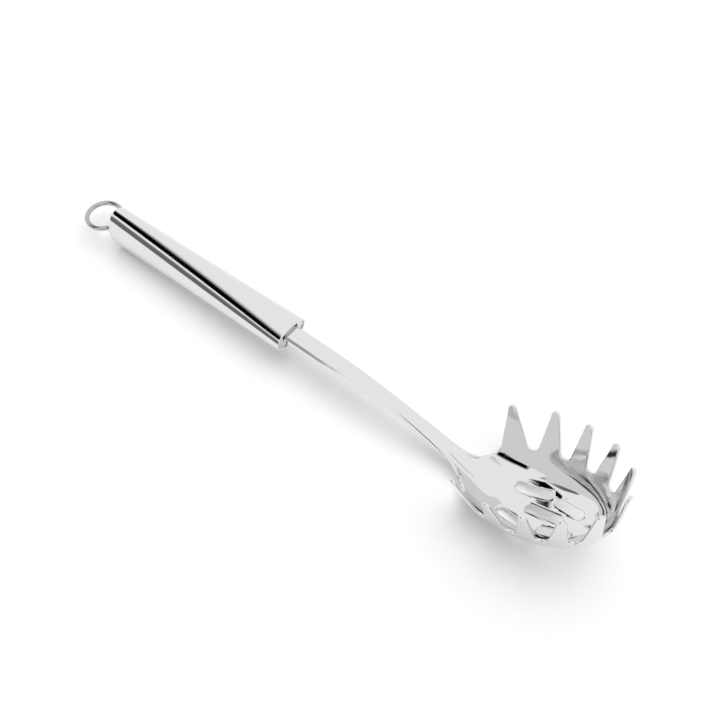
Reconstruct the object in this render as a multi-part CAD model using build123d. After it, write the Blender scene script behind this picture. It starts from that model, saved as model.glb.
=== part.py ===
from build123d import *
import math
import os

# Pasta server, lying as it rests on a table: bowl down, prongs up.
# Millimetres. X runs from the hanging ring to the bowl, Y across, Z up from the table.
# The model is drawn with X = 0 at the handle's front face, then centred on its own box.

# Handle, a tube that turns from an upright oval at the ring to a flat oval at the neck
handle_length = 125.0
rear_half_width = 8.4
rear_half_height = 13.4
front_half_width = 10.8
front_half_height = 6.5
handle_rise = 5.3
tube_wall = 0.9
tube_edge_round = 0.35

# End plates pressed into the tube
plate_thickness = 1.6
plate_recess = 0.7
plate_clearance = 0.05

# Hanging ring, one bent wire whose two ends sit in the rear plate
wire_radius = 1.35
ring_radius = 9.7
ring_centre_offset = 13.6
ring_leg_half_spacing = 5.0
ring_bend_radius = 3.0
ring_stub = 1.0
wire_clearance = 0.05

# Head, one stamped sheet: tang, neck, bowl and prongs
sheet = 1.5
tang_length = 14.0
neck_height_over_axis = 3.3
neck_half_width = 5.5
neck_flank = 3.5
heel_dish = 3.0
neck_slot_clearance = 0.15

# Bowl, measured inside, on axes that lean back from the table by bowl_tilt degrees
bowl_tilt = 24.7
bowl_offset = 144.0
rim_centre = 7.8
rim_depth = 15.0
rim_half_width = 22.0
rim_front_reach = 41.0
rim_rear_reach = 40.2
flare_lean = 4.3
flare_side = 6.0
flare_front = 7.3
flare_rear = 8.1

# Prongs and the notches between them
prong_rise = 25.4
prong_tip_radius = 2.1
notch_radius = 2.7
heel_edge_depth = 13.4
heel_edge_round = 6.0

# Drain slots in the bowl's floor
slot_width = 4.6
centre_slot_length = 20.0
centre_slot_place = 9.0
rear_slot_length = 19.0
rear_slot_place = -1.8
rear_slot_side = 8.9
front_slot_length = 16.5
front_slot_place = 18.6
front_slot_side = 7.2

# Cutters run past what they cut by this much
overrun = 8.0

# Counts and angles in degrees
shoulder_squareness = 5
shoulder_steps = 5
rear_slot_turn = 8.0
front_slot_turn = -11.0
prong_tip_angles = (0.0, 28.0, 52.0, 74.0, 95.7, 122.3)
notch_angles = (14.0, 42.5, 65.7, 86.7, 110.8)

# Shares along the neck: place, drop, half width, flank and dish
neck_station_shares = (
    (0.16, 0.000, 1.00, 1.00, 0.00),
    (0.24, 0.001, 0.99, 1.00, 0.00),
    (0.36, 0.010, 0.93, 1.00, 0.00),
    (0.52, 0.065, 0.80, 1.00, 0.00),
    (0.68, 0.205, 0.72, 0.97, 0.00),
    (0.80, 0.400, 0.78, 0.85, 0.05),
    (0.89, 0.650, 1.08, 0.50, 0.20),
    (0.95, 0.840, 1.34, 0.20, 0.50),
    (1.00, 1.000, 1.56, 0.00, 1.00),
)
# Shares of the rim's depth and reach for the bowl's rings, from the floor up
ring_depth_shares = (0.0, 0.1, 0.25, 0.55, 1.0)
side_reach_shares = (0.50, 0.63, 0.77, 0.89, 1.0)
front_reach_shares = (0.52, 0.62, 0.74, 0.88, 1.0)
rear_reach_shares = (0.40, 0.50, 0.64, 0.83, 1.0)
# Shares of the prongs' rise and flare for the rings above the rim
prong_ring_shares = (1.1,)

# Worked out from the sizes above
handle_pitch = math.asin(handle_rise / handle_length)
front_axis_height = rear_half_height * math.cos(handle_pitch) + handle_rise
neck_top = front_axis_height + neck_height_over_axis
handle_frame = Plane(
    origin=(0, 0, front_axis_height),
    x_dir=(math.cos(handle_pitch), 0, math.sin(handle_pitch)),
    z_dir=(-math.sin(handle_pitch), 0, math.cos(handle_pitch)),
)


def across(x):
    """Plane square to X, with its own x along Y and its y up."""
    return Plane(origin=(x, 0, 0), x_dir=(0, 1, 0), z_dir=(1, 0, 0))


# Handle tube and end plates, drawn along the handle's own axis with the front face at 0


def oval(x, inset):
    """The tube's oval at a place along the handle, drawn in by an inset."""
    share = -x / handle_length
    half_width = front_half_width + (rear_half_width - front_half_width) * share - inset
    half_height = front_half_height + (rear_half_height - front_half_height) * share - inset
    upper = EllipticalCenterArc((0, 0), half_width, half_height, 0, arc_size=180)
    lower = EllipticalCenterArc((0, 0), half_width, half_height, 180, arc_size=180)
    return across(x) * make_face([upper, lower])


def oval_bar(rear_x, front_x, inset):
    return loft([oval(rear_x, inset), oval(front_x, inset)], ruled=True)


def make_handle_tube():
    outside = oval_bar(-handle_length, 0, 0)
    bore = oval_bar(-handle_length - overrun, overrun, tube_wall)
    tube = outside - bore
    rims = tube.faces().filter_by(lambda face: abs(face.normal_at().X) > math.cos(handle_pitch))
    outer_edges = ShapeList(
        edge for face in rims for edge in face.outer_wire().edges()
    )
    return fillet(outer_edges, tube_edge_round)


def make_plate(outer_face_x, inward):
    inner_face_x = outer_face_x + inward * plate_thickness
    ends = sorted((outer_face_x, inner_face_x))
    return oval_bar(ends[0], ends[1], tube_wall + plate_clearance)


def make_rear_plate():
    plate = make_plate(-handle_length + plate_recess, 1)
    drill = Cylinder(wire_radius + wire_clearance, plate_thickness + overrun, rotation=(0, 90, 0))
    for side in (-1, 1):
        plate -= Pos(-handle_length + plate_recess, side * ring_leg_half_spacing, 0) * drill
    return plate


def make_front_plate():
    return make_plate(-plate_recess, -1)


# Hanging ring: two straight legs, two outward bends and the round loop


def make_hanging_ring():
    reach = ring_radius + ring_bend_radius
    bend_side = ring_leg_half_spacing + ring_bend_radius
    bend_x = -ring_centre_offset + math.sqrt(reach**2 - bend_side**2)
    turn = math.degrees(math.asin(bend_side / reach))
    stub_x = plate_recess + plate_thickness + ring_stub
    loop = CenterArc((-ring_centre_offset, 0), ring_radius, turn, 360 - 2 * turn)
    pieces = [loop.edge()]
    for side in (-1, 1):
        centre = (bend_x, side * bend_side)
        start = (stub_x, side * ring_leg_half_spacing)
        foot = (bend_x, side * ring_leg_half_spacing)
        bend = CenterArc(centre, ring_bend_radius, -side * 90, -side * (90 - turn))
        pieces += [Line(start, foot).edge(), bend.edge()]
    path = Wire(pieces)
    wire = sweep(across(stub_x) * Pos(ring_leg_half_spacing, 0) * Circle(wire_radius), path=path)
    return Pos(-handle_length, 0, 0) * wire


# Bowl, drawn on its own tilted axes: X to the front, Z up out of the floor


def bowl_rings():
    """Height, centre and the reach to the side, front and rear of each ring, measured inside."""
    rings = []
    for level in range(len(ring_depth_shares)):
        rings.append((
            rim_depth * ring_depth_shares[level],
            rim_centre,
            rim_half_width * side_reach_shares[level],
            rim_front_reach * front_reach_shares[level],
            rim_rear_reach * rear_reach_shares[level],
        ))
    for share in prong_ring_shares:
        rings.append((
            rim_depth + prong_rise * share,
            rim_centre + flare_lean * share,
            rim_half_width + flare_side * share,
            rim_front_reach + flare_front * share,
            rim_rear_reach + flare_rear * share,
        ))
    return rings


def outside_rings(rings):
    """The same rings a sheet further out, measured square to the wall."""
    outside = []
    for level in range(len(rings)):
        below = rings[max(level - 1, 0)]
        above = rings[min(level + 1, len(rings) - 1)]
        rise = above[0] - below[0]
        reaches = []
        for way in (2, 3, 4):
            run = above[way] - below[way]
            if level == 0:
                growth = sheet * math.tan(math.atan2(rise, run) / 2)
            else:
                growth = sheet * math.hypot(rise, run) / rise
            reaches.append(rings[level][way] + growth)
        height = rings[level][0] - sheet if level == 0 else rings[level][0]
        outside.append((height, rings[level][1], *reaches))
    return outside


def ring_solid(rings):
    """Rounded up to the rim, straight and flaring above it."""
    faces = []
    for height, centre, side, front, rear in rings:
        nose = EllipticalCenterArc((centre, 0), front, side, -90, arc_size=180)
        heel = EllipticalCenterArc((centre, 0), rear, side, 90, arc_size=180)
        faces.append(Pos(0, 0, height) * make_face([nose, heel]))
    rim = len(ring_depth_shares)
    return loft(faces[:rim]) + loft(faces[rim - 1:], ruled=True)


def oval_point(angle, flare_share):
    """Plan point on the rim, or flared out from it, at an angle from the front."""
    turn = math.radians(angle)
    if math.cos(turn) > 0:
        reach = rim_front_reach + flare_front * flare_share
    else:
        reach = rim_rear_reach + flare_rear * flare_share
    side = rim_half_width + flare_side * flare_share
    centre = rim_centre + flare_lean * flare_share
    return Vector(centre + reach * math.cos(turn), side * math.sin(turn), 0)


def outward(angle):
    """Level direction square to the rim at an angle from the front."""
    turn = math.radians(angle)
    reach = rim_front_reach if math.cos(turn) > 0 else rim_rear_reach
    return Vector(math.cos(turn) / reach, math.sin(turn) / rim_half_width, 0).normalized()


def facing(angle):
    """Upright plane on the rim, with its own x along the rim and its y up."""
    away = outward(angle)
    return Plane(origin=oval_point(angle, 0), x_dir=(-away.Y, away.X, 0), z_dir=away)


def prong_layout():
    """Root angle, tip angle and half width at the root of the front prong and one side's others."""
    marks = (-notch_angles[0],) + notch_angles
    layout = []
    for number in range(len(notch_angles)):
        before = marks[number]
        after = marks[number + 1]
        gap = (oval_point(after, 0) - oval_point(before, 0)).length
        layout.append(((before + after) / 2, prong_tip_angles[number], gap / 2 - notch_radius))
    last_root, _, last_half_width = layout[-1]
    rear_root = 2 * notch_angles[-1] - last_root
    layout.append((rear_root, prong_tip_angles[-1], last_half_width))
    return layout


def prong_block(root_angle, tip_angle, root_half_width):
    """Tapered block with a round tip that keeps one prong of the wall."""
    plane = facing(root_angle)
    lean = (oval_point(tip_angle, 1) - oval_point(root_angle, 0)).dot(plane.x_dir)
    top = rim_depth + prong_rise - prong_tip_radius
    outline = Polyline(
        (-root_half_width, 0),
        (root_half_width, 0),
        (root_half_width, rim_depth),
        (lean + prong_tip_radius, top),
        (lean - prong_tip_radius, top),
        (-root_half_width, rim_depth),
        close=True,
    )
    profile = make_face(outline) + Pos(lean, top) * Circle(prong_tip_radius)
    outer = extrude(plane * profile, flare_lean + flare_front + overrun)
    inner = extrude(plane * profile, -overrun)
    return outer + inner


def notch_bar(angle):
    bar = Pos(0, rim_depth + notch_radius) * Circle(notch_radius)
    return extrude(facing(angle) * bar, overrun, both=True)


def keep_block():
    """Everything of the bowl's wall that the stamping leaves: floor, rim and prongs."""
    base_top = rim_depth + notch_radius
    front = rim_centre + rim_front_reach + flare_lean + flare_front + overrun
    rear = -rim_rear_reach - flare_rear - overrun
    side = rim_half_width + flare_side + overrun
    block = Pos((front + rear) / 2, 0, (base_top - overrun) / 2) * Box(
        front - rear, 2 * side, base_top + overrun
    )
    layout = prong_layout()
    edge_x = oval_point(layout[-1][0], 0).X - layout[-1][2]
    behind = Polyline(
        (rear, heel_edge_depth),
        (edge_x - heel_edge_round, heel_edge_depth),
        (edge_x - heel_edge_round, base_top + overrun),
        (rear, base_top + overrun),
        close=True,
    )
    corner = Polyline(
        (edge_x - heel_edge_round, heel_edge_depth),
        (edge_x, heel_edge_depth),
        (edge_x, heel_edge_depth + heel_edge_round),
        (edge_x - heel_edge_round, heel_edge_depth + heel_edge_round),
        close=True,
    )
    curve = Pos(edge_x - heel_edge_round, heel_edge_depth + heel_edge_round) * Circle(heel_edge_round)
    step = make_face(behind) + (make_face(corner) & curve)
    block -= extrude(Plane.XZ * step, side, both=True)
    for number, (root, tip, half_width) in enumerate(layout):
        block += prong_block(root, tip, half_width)
        if number > 0:
            block += prong_block(-root, -tip, half_width)
    for angle in notch_angles:
        block -= notch_bar(angle)
        block -= notch_bar(-angle)
    return block


def drain_slots():
    """Five round-ended cutters through the floor."""
    places = [(centre_slot_place, 0, centre_slot_length, 0)]
    for side in (-1, 1):
        places.append((rear_slot_place, side * rear_slot_side, rear_slot_length, side * rear_slot_turn))
        places.append((front_slot_place, side * front_slot_side, front_slot_length, side * front_slot_turn))
    cutters = []
    for x, y, length, turn in places:
        cutters.append(extrude(Pos(x, y) * Rot(0, 0, turn) * SlotOverall(length, slot_width), overrun, both=True))
    return cutters


# Neck, drawn in table axes as sections square to X


def neck_section(x, top, half_width, flank, dish):
    """Closed outline of the sheet: a channel with rounded shoulders that can turn into a dish."""
    fold = min(1, flank / sheet)
    curves = []
    edges = (
        (half_width, top, flank),
        (half_width - sheet * fold, top - sheet, flank - sheet * fold),
    )
    for width, crown, fall in edges:
        points = []
        for step in range(-shoulder_steps, shoulder_steps + 1):
            angle = math.pi / 2 * step / shoulder_steps
            share = math.copysign(abs(math.sin(angle)) ** (2 / shoulder_squareness), step) if step else 0
            height = crown + dish * share**2 - fall * (1 - math.cos(angle))
            points.append((width * share, height))
        curves.append(points)
    upper = Spline(*curves[0])
    lower = Spline(*curves[1])
    sides = [Line(curves[0][end], curves[1][end]) for end in (0, -1)]
    return across(x) * make_face([upper, lower, *sides])


def between(values, shares, value):
    """Value read off a run of straight pieces."""
    for low in range(len(values) - 1):
        if value <= values[low + 1]:
            part = (value - values[low]) / (values[low + 1] - values[low])
            return shares[low] + (shares[low + 1] - shares[low]) * part
    return shares[-1]


def bowl_frame(lift):
    tilt = math.radians(bowl_tilt)
    return Plane(
        origin=(bowl_offset, 0, lift),
        x_dir=(math.cos(tilt), 0, math.sin(tilt)),
        z_dir=(-math.sin(tilt), 0, math.cos(tilt)),
    )


def make_neck(frame):
    """Tang, neck and heel, down to where the bowl's rear wall carries on."""
    heel_reach = rim_rear_reach * between(ring_depth_shares, rear_reach_shares, heel_edge_depth / rim_depth)
    end = frame.from_local_coords(Vector(rim_centre - heel_reach, 0, heel_edge_depth))
    straight = neck_section(-tang_length, neck_top, neck_half_width, neck_flank, 0)
    tang = extrude(straight, tang_length + end.X * neck_station_shares[0][0])
    sections = []
    for place, drop, width, flank, dish in neck_station_shares:
        sections.append(neck_section(
            end.X * place,
            neck_top - (neck_top - end.Z) * drop,
            neck_half_width * width,
            neck_flank * flank,
            heel_dish * dish,
        ))
    return tang + loft(sections)


def make_head():
    rings = bowl_rings()
    outside = ring_solid(outside_rings(rings))
    cavity = ring_solid(rings)
    lift = -(bowl_frame(0) * outside).bounding_box().min.Z
    frame = bowl_frame(lift)
    bowl = (outside - cavity) & keep_block()
    for cutter in drain_slots():
        bowl -= cutter
    neck = make_neck(frame) - frame * cavity
    return neck + frame * bowl


def make_neck_slot():
    """Opening in the front plate that the neck passes through."""
    width = 2 * (neck_half_width + neck_slot_clearance)
    height = neck_flank + 2 * neck_slot_clearance
    middle = neck_top - neck_flank / 2
    depth = plate_recess + plate_thickness + overrun
    return Pos(-depth / 2, 0, middle) * Box(depth, width, height)


def main():
    head = make_head()
    pieces = {
        "head_blank": head,
        "handle_tube": handle_frame * make_handle_tube(),
        "front_plate": handle_frame * make_front_plate() - make_neck_slot(),
        "rear_plate": handle_frame * make_rear_plate(),
        "hanging_ring": handle_frame * make_hanging_ring(),
    }
    box = Compound(children=[Solid(piece.solid().wrapped) for piece in pieces.values()]).bounding_box()
    place = Pos(-(box.min.X + box.max.X) / 2, 0, -box.min.Z)
    os.makedirs("parts", exist_ok=True)
    for name, piece in pieces.items():
        export_step(place * piece, f"parts/{name}.step")
        print(name, len(piece.solids()), "solids, volume", round(piece.volume), "mm3")
    print("box", box.size, "shift", place.position)


main()
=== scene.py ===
import math

import bpy
import bmesh
import numpy as np
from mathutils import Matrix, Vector, geometry


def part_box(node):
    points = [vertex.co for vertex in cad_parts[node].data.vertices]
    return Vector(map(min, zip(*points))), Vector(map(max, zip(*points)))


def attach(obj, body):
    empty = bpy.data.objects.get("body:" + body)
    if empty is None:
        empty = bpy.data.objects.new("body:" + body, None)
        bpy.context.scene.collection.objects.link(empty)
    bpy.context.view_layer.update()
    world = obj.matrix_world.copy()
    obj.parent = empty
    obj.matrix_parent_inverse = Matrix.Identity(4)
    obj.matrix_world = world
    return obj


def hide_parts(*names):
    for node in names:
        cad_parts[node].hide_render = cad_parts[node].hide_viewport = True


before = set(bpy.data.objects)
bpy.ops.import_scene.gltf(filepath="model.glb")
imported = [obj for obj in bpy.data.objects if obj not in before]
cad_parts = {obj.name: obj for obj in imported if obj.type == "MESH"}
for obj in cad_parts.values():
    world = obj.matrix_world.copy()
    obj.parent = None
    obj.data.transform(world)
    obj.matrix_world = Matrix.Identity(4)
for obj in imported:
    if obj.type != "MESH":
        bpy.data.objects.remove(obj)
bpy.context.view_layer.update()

# The object's sizes and the camera's place are millimetres, the floor's and cards' sizes metres
MM = 0.001

# Handle tube: half width and half height at each end, and how the lips are rounded
HANDLE_LENGTH = 125.0
REAR_HALF = (8.4, 13.4)
FRONT_HALF = (10.8, 6.5)
HANDLE_RISE = 5.3
TUBE_WALL = 0.9
LIP_ROUND = 0.35
INNER_LIP_SHARE = 0.6
LIP_MARGIN = 1.0
BORE_SHOWN = 3.0

# End plates
PLATE_THICKNESS = 1.6
PLATE_RECESS = 0.7

# Hanging ring
WIRE_RADIUS = 1.33
RING_RADIUS = 9.7
RING_CENTRE_OFFSET = 13.6
LEG_HALF_SPACING = 5.0
BEND_RADIUS = 3.0
RING_STUB = 1.0

# Sheet of the head: neck and bowl
SHEET = 1.5
EDGE_BULGE = 0.3
TANG_LENGTH = 14.0
NECK_OVER_AXIS = 3.3
NECK_HALF_WIDTH = 5.5
NECK_FLANK = 3.5
SHOULDER_POWER = 5

# Bowl, on axes that lean back by BOWL_TILT
BOWL_TILT = math.radians(24.7)
BOWL_OFFSET = 144.0
RIM_CENTRE = 7.8
RIM_DEPTH = 15.0
RIM_SIDE = 22.0
RIM_FRONT = 40.66
RIM_REAR = 40.2
SIDE_POWER = 5.1
FRONT_POWER = 4.7
REAR_POWER = 3.2
FLARE_LEAN = 4.3
FLARE_SIDE = 6.0
FLARE_FRONT = 6.9
FLARE_REAR = 8.1
RIM_BLEND = 5.0
REAR_BLEND = 2.5

# Prongs, notches and the edge behind the last prongs
PRONG_RISE = 25.4
TIP_RADIUS = 2.1
NOTCH_RADIUS = 2.7
HEEL_EDGE = 13.4
HEEL_ROUND = 6.0
TIP_ANGLES = (0.0, 28.0, 52.0, 74.0, 95.7, 122.3)
NOTCH_ANGLES = (14.0, 42.5, 65.7, 86.7, 110.8)

# Drain slots: place along the bowl, side, length and turn
SLOT_WIDTH = 4.6
DRAIN_SLOTS = (
    (9.0, 0.0, 20.0, 0.0),
    (-1.8, -8.9, 19.0, -8.0),
    (-1.8, 8.9, 19.0, 8.0),
    (18.6, -7.2, 16.5, 11.0),
    (18.6, 7.2, 16.5, -11.0),
)

# Neck stations: share of the way, drop, half width and flank
NECK_STATIONS = (
    (0.16, 0.000, 1.00, 1.00),
    (0.24, 0.001, 0.99, 1.00),
    (0.36, 0.010, 0.93, 1.00),
    (0.52, 0.065, 0.80, 1.00),
    (0.68, 0.205, 0.72, 0.97),
    (0.80, 0.400, 0.78, 0.85),
)

# Where the neck lands on the bowl's rear wall, and how its sides spread there
NECK_TURN = math.radians(27)
LANDING_STEP = 0.5
LANDING_SPREAD = math.radians(75)
LANDING_POWER = 3

# Mesh of the handle and ring
TUBE_COLUMNS = 128
TUBE_ROWS = 40
LIP_ROWS = 6
INNER_LIP_ROWS = 4
WIRE_COLUMNS = 32
LEG_ROWS = 8
BEND_ROWS = 10
LOOP_ROWS = 50

# Mesh of the prongs and wall: rows for each stretch, and the gaps kept between stretches
SECTOR_COLUMNS = 16
HEEL_COLUMNS = 10
WALL_ROWS = 16
CORNER_ROWS = 6
CORNER_TURN = 0.7
ROUND_ROWS = 9
PRONG_ROWS = 24
HEEL_GAP = 0.4
RIM_GAP = 0.15

# Mesh of the floor: where the wall ends, and a lattice of points that covers the rest
FLOOR_LEVEL = 0.72
FLOOR_SHRINK = 0.985
FLOOR_SPACING = 1.1
LATTICE_SIDE = 20
LATTICE_BACK = 32
LATTICE_AHEAD = 50
SLOT_END_POINTS = 17
SLOT_SIDE_POINTS = 16

# Mesh of the neck and of the sheet's edge
NECK_COLUMNS = 28
SHOULDER_SAMPLES = 400
MIDDLE_SAMPLES = 50
TANG_ROWS = 8
NECK_ROWS = 56
LANDING_ROWS = 25
EDGE_STEPS = 6

# Tolerances, in millimetres
SHEET_WELD = 1e-3
PIECE_WELD = 1e-4
OPEN_MARGIN = 1e-3
ROUNDING = 1e-6

# Searches for an angle on the wall and for the height of the floor
ANGLE_STEP = 1e-4
ANGLE_PASSES = 12
HEIGHT_HALVINGS = 50

# Steel: tints, ranges of the noise that are used, shares of the roughness, and depths of the bumps
STEEL_TINT = (0.78, 0.78, 0.79)
PLATE_TINT = (0.72, 0.72, 0.73)
# The ring's darker tint is painted shade: the same polished steel, darkened to stand in for the darker
# reflections on its thin wire.
RING_SHADE_TINT = (0.5, 0.5, 0.51)
SCRATCH_SHADE = 0.975
SCRATCH_RANGE = (0.3, 0.75)
GLOSS_RANGE = (0.3, 0.7)
GLOSS_SHARES = (0.6, 1.5)
SCRATCH_DEPTH = 0.02
WAVE_DEPTH = 0.3

# Studio: shades from 0, black, to 1, white, and strengths of light
FLOOR_HALF = 3.0
FLOOR_WHITE = 0.97
FLOOR_ROUGHNESS = 0.9
FLOOR_LIFT = 0.05
WORLD_LIGHT = 0.5
SUN_AZIMUTH = 160.0
SUN_ELEVATION = 79.0
SUN_SOFTNESS = 60.0
SUN_STRENGTH = 1.6

# Camera: lens, where it stands, and the point of the table that it faces
CAMERA_LENS = 47.49
SENSOR_WIDTH = 36.0
CAMERA_NEAR = 10.0
CAMERA_AZIMUTH = 38.11
CAMERA_ELEVATION = 57.10
CAMERA_DISTANCE = 497.0
TARGET_AHEAD = 29.26
TARGET_ASIDE = 19.10

pitch = math.asin(HANDLE_RISE / HANDLE_LENGTH)
axis_height = REAR_HALF[1] * math.cos(pitch) + HANDLE_RISE
neck_top = axis_height + NECK_OVER_AXIS
front_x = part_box("handle_tube")[1].x / MM - FRONT_HALF[1] * math.sin(pitch)


def make_object(name, points, faces, node, material):
    """A smooth mesh piece, in millimetres, that stands for a CAD node."""
    mesh = bpy.data.meshes.new(name)
    mesh.from_pydata([tuple(p) for p in np.asarray(points) * MM], [], [tuple(f) for f in faces])
    bm = bmesh.new()
    bm.from_mesh(mesh)
    bmesh.ops.remove_doubles(bm, verts=bm.verts, dist=PIECE_WELD * MM)
    bmesh.ops.recalc_face_normals(bm, faces=bm.faces)
    bm.to_mesh(mesh)
    bm.free()
    mesh.polygons.foreach_set("use_smooth", [True] * len(mesh.polygons))
    piece = bpy.data.objects.new(name, mesh)
    bpy.context.scene.collection.objects.link(piece)
    mesh.materials.append(material)
    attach(piece, "root")
    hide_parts(node)
    return piece


def grid_faces(rows, columns, start=0, closed=False):
    """Quads over a grid of rows and columns whose points start at an index."""
    faces = []
    last = columns if closed else columns - 1
    for row in range(rows - 1):
        for column in range(last):
            a = start + row * columns + column
            b = start + row * columns + (column + 1) % columns
            faces.append((a, b, b + columns, a + columns))
    return faces


def unit(rows):
    """Vectors at length one."""
    length = np.linalg.norm(rows, axis=-1, keepdims=True)
    return rows / np.maximum(length, ROUNDING)


def from_handle(points):
    """Handle axes, with the front face at 0, to table axes."""
    points = np.asarray(points, float)
    x = points[:, 0] * math.cos(pitch) - points[:, 2] * math.sin(pitch) + front_x
    z = points[:, 0] * math.sin(pitch) + points[:, 2] * math.cos(pitch) + axis_height
    return np.stack([x, points[:, 1], z], 1)


def from_bowl(points, lift):
    """Bowl axes to table axes."""
    points = np.asarray(points, float)
    x = points[:, 0] * math.cos(BOWL_TILT) - points[:, 2] * math.sin(BOWL_TILT) + BOWL_OFFSET + front_x
    z = points[:, 0] * math.sin(BOWL_TILT) + points[:, 2] * math.cos(BOWL_TILT) + lift
    return np.stack([x, points[:, 1], z], 1)


# Materials


def polished_steel(name, tint, roughness, scratch_scale, scratch_strength, wobble_scale, wobble_strength):
    """Mirror steel: fine wiping scratches, roughness that varies, and slight waves from polishing."""
    material = bpy.data.materials.new(name)
    material.use_nodes = True
    nodes = material.node_tree.nodes
    links = material.node_tree.links
    shader = nodes["Principled BSDF"]
    shader.inputs["Metallic"].default_value = 1.0
    place = nodes.new("ShaderNodeTexCoord")
    stretch = nodes.new("ShaderNodeMapping")
    stretch.inputs["Scale"].default_value = scratch_scale
    links.new(place.outputs["Object"], stretch.inputs["Vector"])
    scratches = nodes.new("ShaderNodeTexNoise")
    scratches.inputs["Scale"].default_value = 1.0
    scratches.inputs["Detail"].default_value = 6.0
    scratches.inputs["Roughness"].default_value = 0.7
    links.new(stretch.outputs["Vector"], scratches.inputs["Vector"])
    clouds = nodes.new("ShaderNodeTexNoise")
    clouds.inputs["Scale"].default_value = wobble_scale
    clouds.inputs["Detail"].default_value = 1.0
    links.new(place.outputs["Object"], clouds.inputs["Vector"])
    shades = nodes.new("ShaderNodeValToRGB")
    shades.color_ramp.elements[0].position = SCRATCH_RANGE[0]
    shades.color_ramp.elements[1].position = SCRATCH_RANGE[1]
    shades.color_ramp.elements[0].color = (*[c * SCRATCH_SHADE for c in tint], 1)
    shades.color_ramp.elements[1].color = (*tint, 1)
    links.new(scratches.outputs["Fac"], shades.inputs["Fac"])
    links.new(shades.outputs["Color"], shader.inputs["Base Color"])
    gloss = nodes.new("ShaderNodeMapRange")
    gloss.inputs["From Min"].default_value = GLOSS_RANGE[0]
    gloss.inputs["From Max"].default_value = GLOSS_RANGE[1]
    gloss.inputs["To Min"].default_value = roughness * GLOSS_SHARES[0]
    gloss.inputs["To Max"].default_value = roughness * GLOSS_SHARES[1]
    links.new(clouds.outputs["Fac"], gloss.inputs["Value"])
    links.new(gloss.outputs["Result"], shader.inputs["Roughness"])
    fine = nodes.new("ShaderNodeBump")
    fine.inputs["Strength"].default_value = scratch_strength
    fine.inputs["Distance"].default_value = SCRATCH_DEPTH * MM
    links.new(scratches.outputs["Fac"], fine.inputs["Height"])
    waves = nodes.new("ShaderNodeBump")
    waves.inputs["Strength"].default_value = wobble_strength
    waves.inputs["Distance"].default_value = WAVE_DEPTH * MM
    links.new(clouds.outputs["Fac"], waves.inputs["Height"])
    links.new(fine.outputs["Normal"], waves.inputs["Normal"])
    links.new(waves.outputs["Normal"], shader.inputs["Normal"])
    return material


head_steel = polished_steel(
    "head_steel",
    STEEL_TINT,
    roughness=0.05,
    scratch_scale=(900, 900, 900),
    scratch_strength=0.3,
    wobble_scale=110,
    wobble_strength=0.25,
)
handle_steel = polished_steel(
    "handle_steel",
    STEEL_TINT,
    roughness=0.05,
    scratch_scale=(60, 1800, 1800),
    scratch_strength=0.3,
    wobble_scale=60,
    wobble_strength=0.04,
)
plate_steel = polished_steel(
    "plate_steel",
    PLATE_TINT,
    roughness=0.16,
    scratch_scale=(1200, 1200, 1200),
    scratch_strength=0.5,
    wobble_scale=300,
    wobble_strength=0.1,
)
# The ring: a darker copy of the same polished steel, with painted shade in its tint.
ring_steel = polished_steel(
    "ring_steel",
    RING_SHADE_TINT,
    roughness=0.1,
    scratch_scale=(1500, 1500, 1500),
    scratch_strength=0.3,
    wobble_scale=200,
    wobble_strength=0.08,
)


# Handle tube


def oval_ring(x, inset):
    """One ring of the tube, drawn in by an inset."""
    share = -x / HANDLE_LENGTH
    half_width = FRONT_HALF[0] + (REAR_HALF[0] - FRONT_HALF[0]) * share - inset
    half_height = FRONT_HALF[1] + (REAR_HALF[1] - FRONT_HALF[1]) * share - inset
    turns = np.linspace(0, 2 * math.pi, TUBE_COLUMNS, endpoint=False)
    return np.stack([np.full(TUBE_COLUMNS, x), half_width * np.cos(turns), half_height * np.sin(turns)], 1)


def lip_profile(end, way):
    """Places and insets from the outside, round the lip and into the bore, at one end."""
    profile = []
    for turn in np.linspace(0, math.pi / 2, LIP_ROWS):
        profile.append((end - way * LIP_ROUND * (1 - math.sin(turn)), LIP_ROUND * (1 - math.cos(turn))))
    inner = LIP_ROUND * INNER_LIP_SHARE
    for turn in np.linspace(0, math.pi / 2, INNER_LIP_ROWS):
        profile.append((end - way * inner * (1 - math.cos(turn)), TUBE_WALL - inner * (1 - math.sin(turn))))
    profile.append((end - way * BORE_SHOWN, TUBE_WALL))
    return profile


def make_handle():
    profile = lip_profile(-HANDLE_LENGTH, -1)[::-1]
    for x in np.linspace(-HANDLE_LENGTH + LIP_MARGIN, -LIP_MARGIN, TUBE_ROWS):
        profile.append((x, 0.0))
    profile += lip_profile(0.0, 1)
    rings = [oval_ring(x, inset) for x, inset in profile]
    faces = grid_faces(len(rings), TUBE_COLUMNS, closed=True)
    return make_object(
        "handle", from_handle(np.vstack(rings)), faces, "handle_tube", handle_steel
    )


# Hanging ring


def wire_path():
    """Points of the bent wire from one leg round the loop to the other, in handle axes."""
    span = RING_RADIUS + BEND_RADIUS
    bend_side = LEG_HALF_SPACING + BEND_RADIUS
    bend_x = -RING_CENTRE_OFFSET + math.sqrt(span**2 - bend_side**2)
    turn = math.asin(bend_side / span)
    stub_x = PLATE_RECESS + PLATE_THICKNESS + RING_STUB
    half = [(x, LEG_HALF_SPACING) for x in np.linspace(stub_x, bend_x, LEG_ROWS)]
    for angle in np.linspace(-math.pi / 2, -math.pi + turn, BEND_ROWS)[1:]:
        half.append((bend_x + BEND_RADIUS * math.cos(angle), bend_side + BEND_RADIUS * math.sin(angle)))
    for angle in np.linspace(turn, math.pi, LOOP_ROWS)[1:]:
        half.append((-RING_CENTRE_OFFSET + RING_RADIUS * math.cos(angle), RING_RADIUS * math.sin(angle)))
    mirrored = [(x, -y) for x, y in half[-2::-1]]
    return np.array(half + mirrored)


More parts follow.
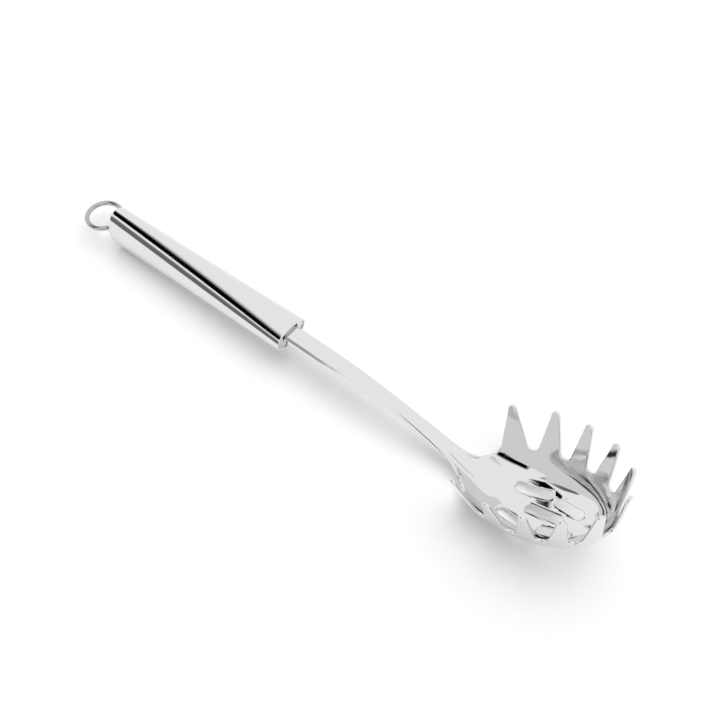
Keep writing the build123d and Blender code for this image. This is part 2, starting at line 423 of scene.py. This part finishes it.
def make_ring():
    path = wire_path()
    along = unit(np.gradient(path, axis=0))
    side = np.stack([-along[:, 1], along[:, 0]], 1)
    points = []
    for place, way in zip(path, side):
        for turn in np.linspace(0, 2 * math.pi, WIRE_COLUMNS, endpoint=False):
            flat = place + way * WIRE_RADIUS * math.cos(turn)
            points.append((flat[0] - HANDLE_LENGTH, flat[1], WIRE_RADIUS * math.sin(turn)))
    faces = grid_faces(len(path), WIRE_COLUMNS, closed=True)
    faces.append(tuple(range(WIRE_COLUMNS)))
    faces.append(tuple(range(len(points) - WIRE_COLUMNS, len(points))))
    return make_object("ring", from_handle(points), faces, "hanging_ring", ring_steel)


# Bowl


def carry_on(height, start, slope, total, blend):
    """A reach above the rim: it leaves with a slope and grows by a total up to the tips."""
    fade = blend * (1 - math.exp(-PRONG_RISE / blend))
    steady = (total - slope * fade) / (PRONG_RISE - fade)
    return start + steady * height + (slope - steady) * blend * (1 - np.exp(-height / blend))


def reach(height, rim, power, flare, blend):
    """How far the inner wall lies from its centre at a height, below the rim and above it."""
    low = rim * (np.minimum(height, RIM_DEPTH) / RIM_DEPTH) ** (1 / power)
    high = carry_on(np.maximum(height - RIM_DEPTH, 0), rim, rim / power / RIM_DEPTH, flare, blend)
    return np.where(height > RIM_DEPTH, high, low)


def oval_at(height):
    """Centre and reach to the side, front and rear of the inner wall at a height over the floor."""
    height = np.asarray(height, float)
    over = np.maximum(height - RIM_DEPTH, 0)
    centre = carry_on(over, RIM_CENTRE, 0.0, FLARE_LEAN, RIM_BLEND)
    side = reach(height, RIM_SIDE, SIDE_POWER, FLARE_SIDE, RIM_BLEND)
    front = reach(height, RIM_FRONT, FRONT_POWER, FLARE_FRONT + FLARE_LEAN, RIM_BLEND)
    rear = reach(height, RIM_REAR, REAR_POWER, FLARE_REAR - FLARE_LEAN, REAR_BLEND)
    shift = centre - RIM_CENTRE
    return centre, side, front - shift, rear + shift


def in_oval(x, y, height):
    """Which plan points lie inside the inner wall at a height."""
    centre, side, front, rear = oval_at(height)
    along = np.where(x > centre, (x - centre) / front, (x - centre) / rear)
    return along**2 + (y / side) ** 2 < 1


def wall_point(angle, height):
    """Point of the inner wall at an angle from the front, in radians, in bowl axes."""
    centre, side, front, rear = oval_at(height)
    angle = np.asarray(angle, float)
    along = np.where(np.cos(angle) > 0, front, rear) * np.cos(angle)
    return np.stack([centre + along, side * np.sin(angle), height + 0 * angle], -1)


def rim_direction(angle):
    """Unit direction along the rim at an angle, level."""
    front = RIM_FRONT if math.cos(angle) > 0 else RIM_REAR
    away = unit(np.array([math.cos(angle) / front, math.sin(angle) / RIM_SIDE, 0]))
    return np.array([-away[1], away[0], 0])


def angle_for(offset, height, root, along):
    """Angle whose wall point lies at an offset along the rim's direction from the root."""
    origin = wall_point(root, RIM_DEPTH)
    angle = root + offset / ((RIM_FRONT + RIM_SIDE) / 2)
    for _ in range(ANGLE_PASSES):
        here = (wall_point(angle, height) - origin) @ along
        ahead = (wall_point(angle + ANGLE_STEP, height) - origin) @ along
        angle = angle + (offset - here) * ANGLE_STEP / (ahead - here)
    return angle


def prong_levels():
    """Heights of the mesh rows from the floor's ring up to the tips."""
    wall = [RIM_DEPTH * share**FRONT_POWER for share in np.linspace(FLOOR_LEVEL, 1, WALL_ROWS)]
    below = [h for h in wall if h < HEEL_EDGE - HEEL_GAP]
    corner_turns = np.linspace(0, CORNER_TURN, CORNER_ROWS)
    corner = [HEEL_EDGE + HEEL_ROUND * (1 - math.cos(turn)) for turn in corner_turns]
    corner = [h for h in corner if h < RIM_DEPTH - RIM_GAP]
    turns = np.linspace(0, math.pi / 2, ROUND_ROWS)
    notch = [RIM_DEPTH + NOTCH_RADIUS * (1 - math.cos(turn)) for turn in turns]
    top = RIM_DEPTH + PRONG_RISE - TIP_RADIUS
    prong = list(np.linspace(RIM_DEPTH + NOTCH_RADIUS, top, PRONG_ROWS))[1:]
    tip = [top + (TIP_RADIUS - EDGE_BULGE) * math.sin(turn) for turn in turns[1:]]
    return np.array(below + corner + notch + prong + tip)


def prong_marks():
    """Root, tip, and the valley on each side of every prong from the front one to the last."""
    notches = [math.radians(a) for a in NOTCH_ANGLES]
    marks = [(0.0, 0.0, -notches[0], notches[0])]
    for number in range(1, len(notches)):
        root = (notches[number - 1] + notches[number]) / 2
        marks.append((root, math.radians(TIP_ANGLES[number]), notches[number - 1], notches[number]))
    last_root = 2 * notches[-1] - marks[-1][0]
    before = wall_point(marks[-1][2], RIM_DEPTH)
    after = wall_point(marks[-1][3], RIM_DEPTH)
    half_width = np.linalg.norm(after - before) / 2 - NOTCH_RADIUS
    edge_x = wall_point(last_root, RIM_DEPTH)[0] - half_width - HEEL_ROUND
    heel_edge_angle = math.acos((edge_x - RIM_CENTRE) / RIM_REAR)
    marks.append((last_root, math.radians(TIP_ANGLES[-1]), notches[-1], heel_edge_angle))
    return marks


def half_width_at(height, full, bottom, round_radius):
    """How far a prong or the wall below it reaches to one side of its middle at a height."""
    top = RIM_DEPTH + PRONG_RISE - TIP_RADIUS
    tip_radius = TIP_RADIUS - EDGE_BULGE
    if height <= bottom:
        return full
    if height < bottom + round_radius:
        over = bottom + round_radius - height
        width = full - math.sqrt(round_radius**2 - over**2)
        return width - EDGE_BULGE * (height - bottom) / round_radius
    if height <= top:
        root_width = full - round_radius - EDGE_BULGE
        share = (height - bottom - round_radius) / (top - bottom - round_radius)
        return root_width + (tip_radius - root_width) * share
    return math.sqrt(max(tip_radius**2 - (height - top) ** 2, 0))


def prong_sector(root, tip, low_valley, high_valley, heel):
    """Grid of inner wall points for one prong and the wall below it."""
    along = rim_direction(root)
    origin = wall_point(root, RIM_DEPTH)
    lean = (wall_point(tip, RIM_DEPTH + PRONG_RISE) - origin) @ along
    top = RIM_DEPTH + PRONG_RISE - TIP_RADIUS
    reach_low = -(wall_point(low_valley, RIM_DEPTH) - origin) @ along
    reach_high = (wall_point(high_valley, RIM_DEPTH) - origin) @ along
    low_side = (reach_low, RIM_DEPTH, NOTCH_RADIUS)
    high_side = (reach_high, HEEL_EDGE, HEEL_ROUND) if heel else (reach_high, RIM_DEPTH, NOTCH_RADIUS)
    shares = np.linspace(-1, 1, SECTOR_COLUMNS + 1)
    rows = []
    for height in prong_levels():
        slide = lean * min(max((height - RIM_DEPTH) / (top - RIM_DEPTH), 0), 1)
        low_width = half_width_at(height, *low_side)
        high_width = half_width_at(height, *high_side)
        offsets = np.where(shares < 0, shares * low_width, shares * high_width) + slide
        angles = angle_for(offsets, max(height, RIM_DEPTH), root, along)
        rows.append(wall_point(angles, height))
    return np.array(rows)


def bowl_sectors():
    """Grids of the front prong and of those on one side, and the angle of the edge behind the last."""
    marks = prong_marks()
    sectors = []
    for number, (root, tip, low, high) in enumerate(marks):
        sectors.append(prong_sector(root, tip, low, high, number == len(marks) - 1))
    return sectors, marks[-1][3]


def heel_columns(heel_valley):
    """Angles round the rear wall between the last prongs, and those where the neck lands."""
    first = np.linspace(heel_valley, math.pi - NECK_TURN, HEEL_COLUMNS + 1)
    middle = np.linspace(math.pi - NECK_TURN, math.pi + NECK_TURN, NECK_COLUMNS + 1)
    last = np.linspace(math.pi + NECK_TURN, 2 * math.pi - heel_valley, HEEL_COLUMNS + 1)
    return np.concatenate([first, middle[1:-1], last]), middle


# Floor of the bowl, with its drain slots


def floor_height(x, y):
    """Height of the inner floor over a plan point."""
    low = np.zeros_like(x)
    high = np.full_like(x, RIM_DEPTH)
    for _ in range(HEIGHT_HALVINGS):
        middle = (low + high) / 2
        inside = in_oval(x, y, middle)
        high = np.where(inside, middle, high)
        low = np.where(inside, low, middle)
    return (low + high) / 2


def slot_outline(x, y, length, turn):
    """Round-ended slot on the plan, a little widened for its rounded edge."""
    radius = SLOT_WIDTH / 2 + EDGE_BULGE
    half = length / 2 - SLOT_WIDTH / 2
    outline = []
    for way, start in ((1, -math.pi / 2), (-1, math.pi / 2)):
        for angle in np.linspace(start, start + math.pi, SLOT_END_POINTS):
            outline.append((way * half + radius * math.cos(angle), radius * math.sin(angle)))
        for share in np.linspace(0, 1, SLOT_SIDE_POINTS)[1:-1]:
            outline.append((way * half * (1 - 2 * share), way * radius))
    turn = math.radians(turn)
    return [
        (x + u * math.cos(turn) - v * math.sin(turn), y + u * math.sin(turn) + v * math.cos(turn))
        for u, v in outline
    ]


def in_slot(x, y, margin):
    """Which plan points lie in a drain slot or within a margin of it."""
    found = np.zeros(x.shape, bool)
    for centre_x, centre_y, length, turn in DRAIN_SLOTS:
        turn = math.radians(turn)
        u = (x - centre_x) * math.cos(turn) + (y - centre_y) * math.sin(turn)
        v = -(x - centre_x) * math.sin(turn) + (y - centre_y) * math.cos(turn)
        half = length / 2 - SLOT_WIDTH / 2
        away = np.hypot(np.maximum(np.abs(u) - half, 0), v)
        found |= away < SLOT_WIDTH / 2 + EDGE_BULGE + margin
    return found


def floor_lattice():
    """Plan points of even triangles that cover the floor."""
    rows = np.arange(-LATTICE_SIDE, LATTICE_SIDE + 1) * FLOOR_SPACING * math.sqrt(3) / 2
    columns = np.arange(-LATTICE_BACK, LATTICE_AHEAD) * FLOOR_SPACING
    x, y = np.meshgrid(columns, rows)
    x = x + np.where(np.arange(len(rows)) % 2, FLOOR_SPACING / 2, 0)[:, None]
    return x.ravel(), y.ravel()


def floor_patch(ring):
    """Triangles over the floor inside the lowest ring of the wall, with the slots left open."""
    points = [(p[0], p[1]) for p in ring]
    edges = [(i, (i + 1) % len(points)) for i in range(len(points))]
    for slot in DRAIN_SLOTS:
        outline = slot_outline(*slot)
        start = len(points)
        points += outline
        edges += [(start + i, start + (i + 1) % len(outline)) for i in range(len(outline))]
    x, y = floor_lattice()
    limit = RIM_DEPTH * (FLOOR_LEVEL * FLOOR_SHRINK) ** FRONT_POWER
    keep = in_oval(x, y, limit) & ~in_slot(x, y, FLOOR_SPACING / 2)
    points += list(zip(x[keep], y[keep]))
    result = geometry.delaunay_2d_cdt([Vector(p) for p in points], edges, [], 0, ROUNDING)
    plan = np.array([(p[0], p[1]) for p in result[0]])
    middles = np.array([plan[list(f)].mean(0) for f in result[2]])
    open_faces = in_slot(middles[:, 0], middles[:, 1], -OPEN_MARGIN)
    faces = [f for f, gone in zip(result[2], open_faces) if not gone]
    height = floor_height(plan[:, 0], plan[:, 1])
    return np.stack([plan[:, 0], plan[:, 1], height], 1), faces


# Neck


def blend_weights(t):
    """Weights of a smooth curve's start, start slope, end and end slope at a share of its way."""
    start = 2 * t**3 - 3 * t**2 + 1
    start_slope = t**3 - 2 * t**2 + t
    end = -2 * t**3 + 3 * t**2
    end_slope = t**3 - t**2
    return start, start_slope, end, end_slope


def smooth_stations(share):
    """Drop, width and flank of the neck at a share of its way, on a smooth curve."""
    table = np.array(NECK_STATIONS)
    places = table[:, 0]
    values = table[:, 1:]
    slopes = np.gradient(values, places, axis=0)
    slopes[0] = 0
    if share <= places[0]:
        return values[0]
    low = min(np.searchsorted(places, share) - 1, len(places) - 2)
    gap = places[low + 1] - places[low]
    start, start_slope, end, end_slope = blend_weights((share - places[low]) / gap)
    curve = start * values[low] + end * values[low + 1]
    return curve + gap * (start_slope * slopes[low] + end_slope * slopes[low + 1])


def neck_row(x, top, half_width, flank):
    """Points across the neck's upper side, evenly spaced over its rounded shoulders."""
    shares = np.sin(np.linspace(0, math.pi / 2, SHOULDER_SAMPLES)) ** (2 / SHOULDER_POWER)
    shares = np.concatenate([np.linspace(0, shares[1], MIDDLE_SAMPLES)[:-1], shares[1:]])
    y = half_width * shares
    z = top - flank * (1 - np.sqrt(np.maximum(1 - shares**SHOULDER_POWER, 0)))
    length = np.concatenate([[0], np.cumsum(np.hypot(np.diff(y), np.diff(z)))])
    even = np.linspace(0, length[-1], NECK_COLUMNS // 2 + 1)
    y = np.interp(even, length, y)
    z = np.interp(even, length, z)
    y = np.concatenate([-y[:0:-1], y])
    z = np.concatenate([z[:0:-1], z])
    return np.stack([np.full(len(y), x), y, z], 1)


def landing_of_neck(angles, lift):
    """Where the neck meets the bowl's rear wall, and the ways in which it goes on down, in table axes."""
    landing = from_bowl(wall_point(angles, HEEL_EDGE), lift)[::-1]
    below = from_bowl(wall_point(angles, HEEL_EDGE - LANDING_STEP), lift)[::-1]
    down = unit(below - landing)
    along = unit(np.gradient(landing, axis=0))
    share = np.linspace(-1, 1, NECK_COLUMNS + 1)[:, None]
    turn = np.abs(share) ** LANDING_POWER * LANDING_SPREAD
    return landing, down * np.cos(turn) + along * np.sign(share) * np.sin(turn)


def neck_rows(lift, landing, down):
    """Rows of the neck from the tang's end to the bowl's rear wall, in table axes."""
    end = from_bowl([wall_point(math.pi, HEEL_EDGE)], lift)[0]
    end_x = end[0] - front_x
    drop = neck_top - end[2]
    rows = []
    for x in np.linspace(-TANG_LENGTH, 0, TANG_ROWS):
        rows.append(neck_row(front_x + x, neck_top, NECK_HALF_WIDTH, NECK_FLANK))
    for share in np.linspace(0, NECK_STATIONS[-1][0], NECK_ROWS)[1:]:
        fall, width, flank = smooth_stations(share)
        top = neck_top - drop * fall
        rows.append(neck_row(front_x + end_x * share, top, NECK_HALF_WIDTH * width, NECK_FLANK * flank))
    start = rows[-1]
    away = unit(rows[-1] - rows[-2])
    chord = np.linalg.norm(landing - start, axis=1)[:, None]
    for t in np.linspace(0, 1, LANDING_ROWS)[1:]:
        at_start, from_start, at_end, from_end = blend_weights(t)
        straight = at_start * start + at_end * landing
        rows.append(straight + chord * (from_start * away + from_end * down))
    return rows


# Head: the bowl's wall, floor and neck as one sheet with thickness and rounded edges


def sheet_of(points, faces):
    """Points and faces welded into one surface whose faces look up out of the bowl."""
    bm = bmesh.new()
    vertices = [bm.verts.new(Vector(p)) for p in points]
    for face in faces:
        bm.faces.new([vertices[i] for i in face])
    bmesh.ops.remove_doubles(bm, verts=bm.verts, dist=SHEET_WELD)
    loose = [v for v in bm.verts if not v.link_faces]
    bmesh.ops.delete(bm, geom=loose, context="VERTS")
    bmesh.ops.recalc_face_normals(bm, faces=bm.faces)
    bm.normal_update()
    floor = min(bm.faces, key=lambda f: f.calc_center_median().z)
    if floor.normal.z < 0:
        bmesh.ops.reverse_faces(bm, faces=bm.faces)
        bm.normal_update()
    bm.verts.index_update()
    return bm


def open_loops(bm):
    """Closed runs of vertices round the outline and round each slot, with the sheet on one side."""
    after = {}
    for edge in bm.edges:
        if len(edge.link_faces) == 1:
            loop = edge.link_loops[0]
            after[loop.vert.index] = loop.link_loop_next.vert.index
    runs = []
    while after:
        start, following = next(iter(after.items()))
        run = [start]
        del after[start]
        while following != start:
            run.append(following)
            following = after.pop(following)
        runs.append(run)
    return runs


def thicken(bm):
    """Second skin a sheet's thickness below, and a rounded edge between the two."""
    upper = np.array([v.co for v in bm.verts])
    normals = np.array([v.normal for v in bm.verts])
    lower = upper - normals * SHEET
    count = len(upper)
    faces = [tuple(v.index for v in f.verts) for f in bm.faces]
    faces += [tuple(count + v.index for v in reversed(f.verts)) for f in bm.faces]
    points = [*upper, *lower]
    for run in open_loops(bm):
        top = upper[run]
        inward = normals[run]
        outward = np.cross(unit(np.roll(top, -1, axis=0) - np.roll(top, 1, axis=0)), inward)
        rings = [run]
        for turn in np.linspace(0, math.pi, EDGE_STEPS + 1)[1:-1]:
            sunk = top - inward * SHEET * (1 - math.cos(turn)) / 2
            rings.append(list(range(len(points), len(points) + len(run))))
            points += list(sunk + outward * EDGE_BULGE * math.sin(turn))
        rings.append([count + i for i in run])
        for above, under in zip(rings, rings[1:]):
            for i in range(len(run)):
                j = (i + 1) % len(run)
                faces.append((above[j], above[i], under[i], under[j]))
    bm.free()
    return make_object("head", points, faces, "head_blank", head_steel)


def lowest_ring(sectors, heel, mirror):
    """Lowest points of the wall, in order round the bowl, which border the floor."""
    half = SECTOR_COLUMNS // 2
    ring = [sectors[0][0][half:-1]]
    ring += [rows[0][:-1] for rows in sectors[1:]]
    ring.append(heel[0][:-1])
    ring += [rows[0][::-1][:-1] * mirror for rows in sectors[:0:-1]]
    ring.append(sectors[0][0][:half])
    return np.vstack(ring)


def standing_lift(points):
    """Lift that sets the tilted bowl's outer floor on the table."""
    inner_height = points[:, 0] * math.sin(BOWL_TILT) + points[:, 2] * math.cos(BOWL_TILT)
    return SHEET - inner_height.min()


def make_head():
    mirror = np.array([1, -1, 1])
    sectors, heel_valley = bowl_sectors()
    heel_angles, neck_angles = heel_columns(heel_valley)
    levels = prong_levels()
    heel_levels = levels[levels <= HEEL_EDGE + ROUNDING]
    heel = np.array([wall_point(heel_angles, h) for h in heel_levels])
    grids = sectors + [rows[:, ::-1] * mirror for rows in sectors[1:]] + [heel]
    floor_points, floor_faces = floor_patch(lowest_ring(sectors, heel, mirror))
    lift = standing_lift(np.vstack([grid.reshape(-1, 3) for grid in grids] + [floor_points]))
    rows = neck_rows(lift, *landing_of_neck(neck_angles, lift))

    points = []
    faces = []
    for grid in grids:
        faces += grid_faces(grid.shape[0], grid.shape[1], len(points))
        points += list(from_bowl(grid.reshape(-1, 3), lift))
    start = len(points)
    points += list(from_bowl(floor_points, lift))
    faces += [tuple(start + i for i in f) for f in floor_faces]
    faces += grid_faces(len(rows), NECK_COLUMNS + 1, len(points))
    points += list(np.vstack(rows))
    return thicken(sheet_of(points, faces))


# Stage: floor, light, and the studio's dark cards that the steel mirrors


def stage_piece(name, points, faces, material):
    """Floor or studio card, in metres, which is not part of the object."""
    mesh = bpy.data.meshes.new(name)
    mesh.from_pydata(points, [], faces)
    mesh.materials.append(material)
    piece = bpy.data.objects.new(name, mesh)
    bpy.context.scene.collection.objects.link(piece)
    return piece


def only_mirrored(piece):
    """Keep a studio card out of everything but reflections."""
    piece.visible_camera = False
    piece.visible_diffuse = False
    piece.visible_shadow = False
    piece.visible_transmission = False


def level_by_ray(nodes, links, socket, as_light, as_seen):
    """One level for light on surfaces, another for the camera, reflections and glass."""
    path = nodes.new("ShaderNodeLightPath")
    seen = nodes.new("ShaderNodeMath")
    seen.operation = "MAXIMUM"
    links.new(path.outputs["Is Camera Ray"], seen.inputs[0])
    links.new(path.outputs["Is Glossy Ray"], seen.inputs[1])
    through = nodes.new("ShaderNodeMath")
    through.operation = "MAXIMUM"
    links.new(seen.outputs["Value"], through.inputs[0])
    links.new(path.outputs["Is Transmission Ray"], through.inputs[1])
    level = nodes.new("ShaderNodeMapRange")
    level.inputs["To Min"].default_value = as_light
    level.inputs["To Max"].default_value = as_seen
    links.new(through.outputs["Value"], level.inputs["Value"])
    links.new(level.outputs["Result"], socket)


def make_floor():
    """White paper that keeps the shadow, the same for the camera and in what the steel mirrors."""
    white = bpy.data.materials.new("floor_paper")
    white.use_nodes = True
    nodes = white.node_tree.nodes
    shader = nodes["Principled BSDF"]
    shader.inputs["Roughness"].default_value = FLOOR_ROUGHNESS
    shader.inputs["Specular IOR Level"].default_value = 0.0
    shader.inputs["Base Color"].default_value = (FLOOR_WHITE, FLOOR_WHITE, FLOOR_WHITE, 1)
    shader.inputs["Emission Color"].default_value = (1, 1, 1, 1)
    level_by_ray(nodes, white.node_tree.links, shader.inputs["Emission Strength"], 0.0, FLOOR_LIFT)
    corners = [(x * FLOOR_HALF, y * FLOOR_HALF, 0) for x, y in ((-1, -1), (1, -1), (1, 1), (-1, 1))]
    stage_piece("floor", corners, [(0, 1, 2, 3)], white)


def make_world():
    """White all round for the camera and for what the steel mirrors, softer as light."""
    world = bpy.data.worlds.new("studio")
    bpy.context.scene.world = world
    world.use_nodes = True
    nodes = world.node_tree.nodes
    background = nodes["Background"]
    background.inputs["Color"].default_value = (1, 1, 1, 1)
    level_by_ray(nodes, world.node_tree.links, background.inputs["Strength"], WORLD_LIGHT, 1.0)


def direction(azimuth, elevation):
    """Unit direction, with the azimuth counted from the front of the table as for a camera."""
    a = math.radians(azimuth)
    e = math.radians(elevation)
    return Vector((math.sin(a) * math.cos(e), -math.cos(a) * math.cos(e), math.sin(e)))


def make_sun():
    """Even light from one side, so that the object keeps a soft shadow on the floor."""
    light = bpy.data.lights.new("sun", "SUN")
    light.angle = math.radians(SUN_SOFTNESS)
    light.energy = SUN_STRENGTH
    sun = bpy.data.objects.new("sun", light)
    bpy.context.scene.collection.objects.link(sun)
    sun.rotation_euler = direction(SUN_AZIMUTH, SUN_ELEVATION).to_track_quat("Z", "Y").to_euler()
    sun.visible_glossy = False


def faded_paint(name, shade, fades):
    """Even shade that turns clear along an axis, from one place to another, once for each fade."""
    material = bpy.data.materials.new(name)
    material.use_nodes = True
    nodes = material.node_tree.nodes
    links = material.node_tree.links
    nodes.remove(nodes["Principled BSDF"])
    face = nodes.new("ShaderNodeEmission")
    face.inputs["Color"].default_value = (shade, shade, shade, 1)
    clear = nodes.new("ShaderNodeBsdfTransparent")
    mix = nodes.new("ShaderNodeMixShader")
    place = nodes.new("ShaderNodeTexCoord")
    parts = nodes.new("ShaderNodeSeparateXYZ")
    links.new(place.outputs["Object"], parts.inputs["Vector"])
    so_far = None
    for axis, clear_at, full_at in fades:
        edge = nodes.new("ShaderNodeMapRange")
        edge.interpolation_type = "SMOOTHSTEP"
        edge.inputs["From Min"].default_value = clear_at
        edge.inputs["From Max"].default_value = full_at
        links.new(parts.outputs[axis], edge.inputs["Value"])
        if so_far is None:
            so_far = edge.outputs["Result"]
            continue
        cover = nodes.new("ShaderNodeMath")
        cover.operation = "MULTIPLY"
        links.new(so_far, cover.inputs[0])
        links.new(edge.outputs["Result"], cover.inputs[1])
        so_far = cover.outputs["Value"]
    links.new(so_far, mix.inputs["Fac"])
    links.new(clear.outputs["BSDF"], mix.inputs[1])
    links.new(face.outputs["Emission"], mix.inputs[2])
    links.new(mix.outputs["Shader"], nodes["Material Output"].inputs["Surface"])
    return material


def make_card(name, faced, azimuth, elevation, distance, width, height, shade, fade, top_fade):
    """Studio card that only the steel mirrors, facing a place on the object, with soft edges."""
    x = width / 2
    y = height / 2
    fades = (("X", -x, fade - x), ("X", x, x - fade), ("Y", -y, fade - y), ("Y", y, y - top_fade))
    corners = [(-x, -y, 0), (x, -y, 0), (x, y, 0), (-x, y, 0)]
    card = stage_piece(name, corners, [(0, 1, 2, 3)], faded_paint(name, shade, fades))
    way = direction(azimuth, elevation)
    card.location = Vector((faced * MM, 0, axis_height * MM)) + way * distance
    card.rotation_euler = way.to_track_quat("Z", "Y").to_euler()
    only_mirrored(card)


def make_camera():
    camera_data = bpy.data.cameras.new("camera")
    camera_data.sensor_width = SENSOR_WIDTH
    camera_data.lens = CAMERA_LENS
    camera_data.clip_start = CAMERA_NEAR * MM
    camera = bpy.data.objects.new("camera", camera_data)
    bpy.context.scene.collection.objects.link(camera)
    target = Vector((front_x + TARGET_AHEAD, TARGET_ASIDE, 0)) * MM
    way = direction(CAMERA_AZIMUTH, CAMERA_ELEVATION)
    camera.location = target + way * CAMERA_DISTANCE * MM
    camera.rotation_euler = way.to_track_quat("Z", "Y").to_euler()
    bpy.context.scene.camera = camera


make_handle()
make_ring()
make_head()
for node in ("front_plate", "rear_plate"):
    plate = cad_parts[node]
    plate.data.materials.clear()
    plate.data.materials.append(plate_steel)

make_floor()
make_world()
make_sun()
make_card(
    "dark_front",
    front_x + BOWL_OFFSET,
    azimuth=12,
    elevation=14,
    distance=1.0,
    width=0.75,
    height=0.5,
    shade=0.0,
    fade=0.05,
    top_fade=0.12,
)
make_card(
    "grey_side",
    front_x - HANDLE_LENGTH / 2,
    azimuth=-34,
    elevation=20,
    distance=1.15,
    width=0.75,
    height=0.64,
    shade=0.16,
    fade=0.05,
    top_fade=0.2,
)
make_card(
    "dark_side",
    front_x - HANDLE_LENGTH / 2,
    azimuth=-64,
    elevation=54,
    distance=0.9,
    width=0.95,
    height=0.41,
    shade=0.0,
    fade=0.04,
    top_fade=0.18,
)
make_camera()

scene = bpy.context.scene
scene.view_settings.view_transform = "Standard"
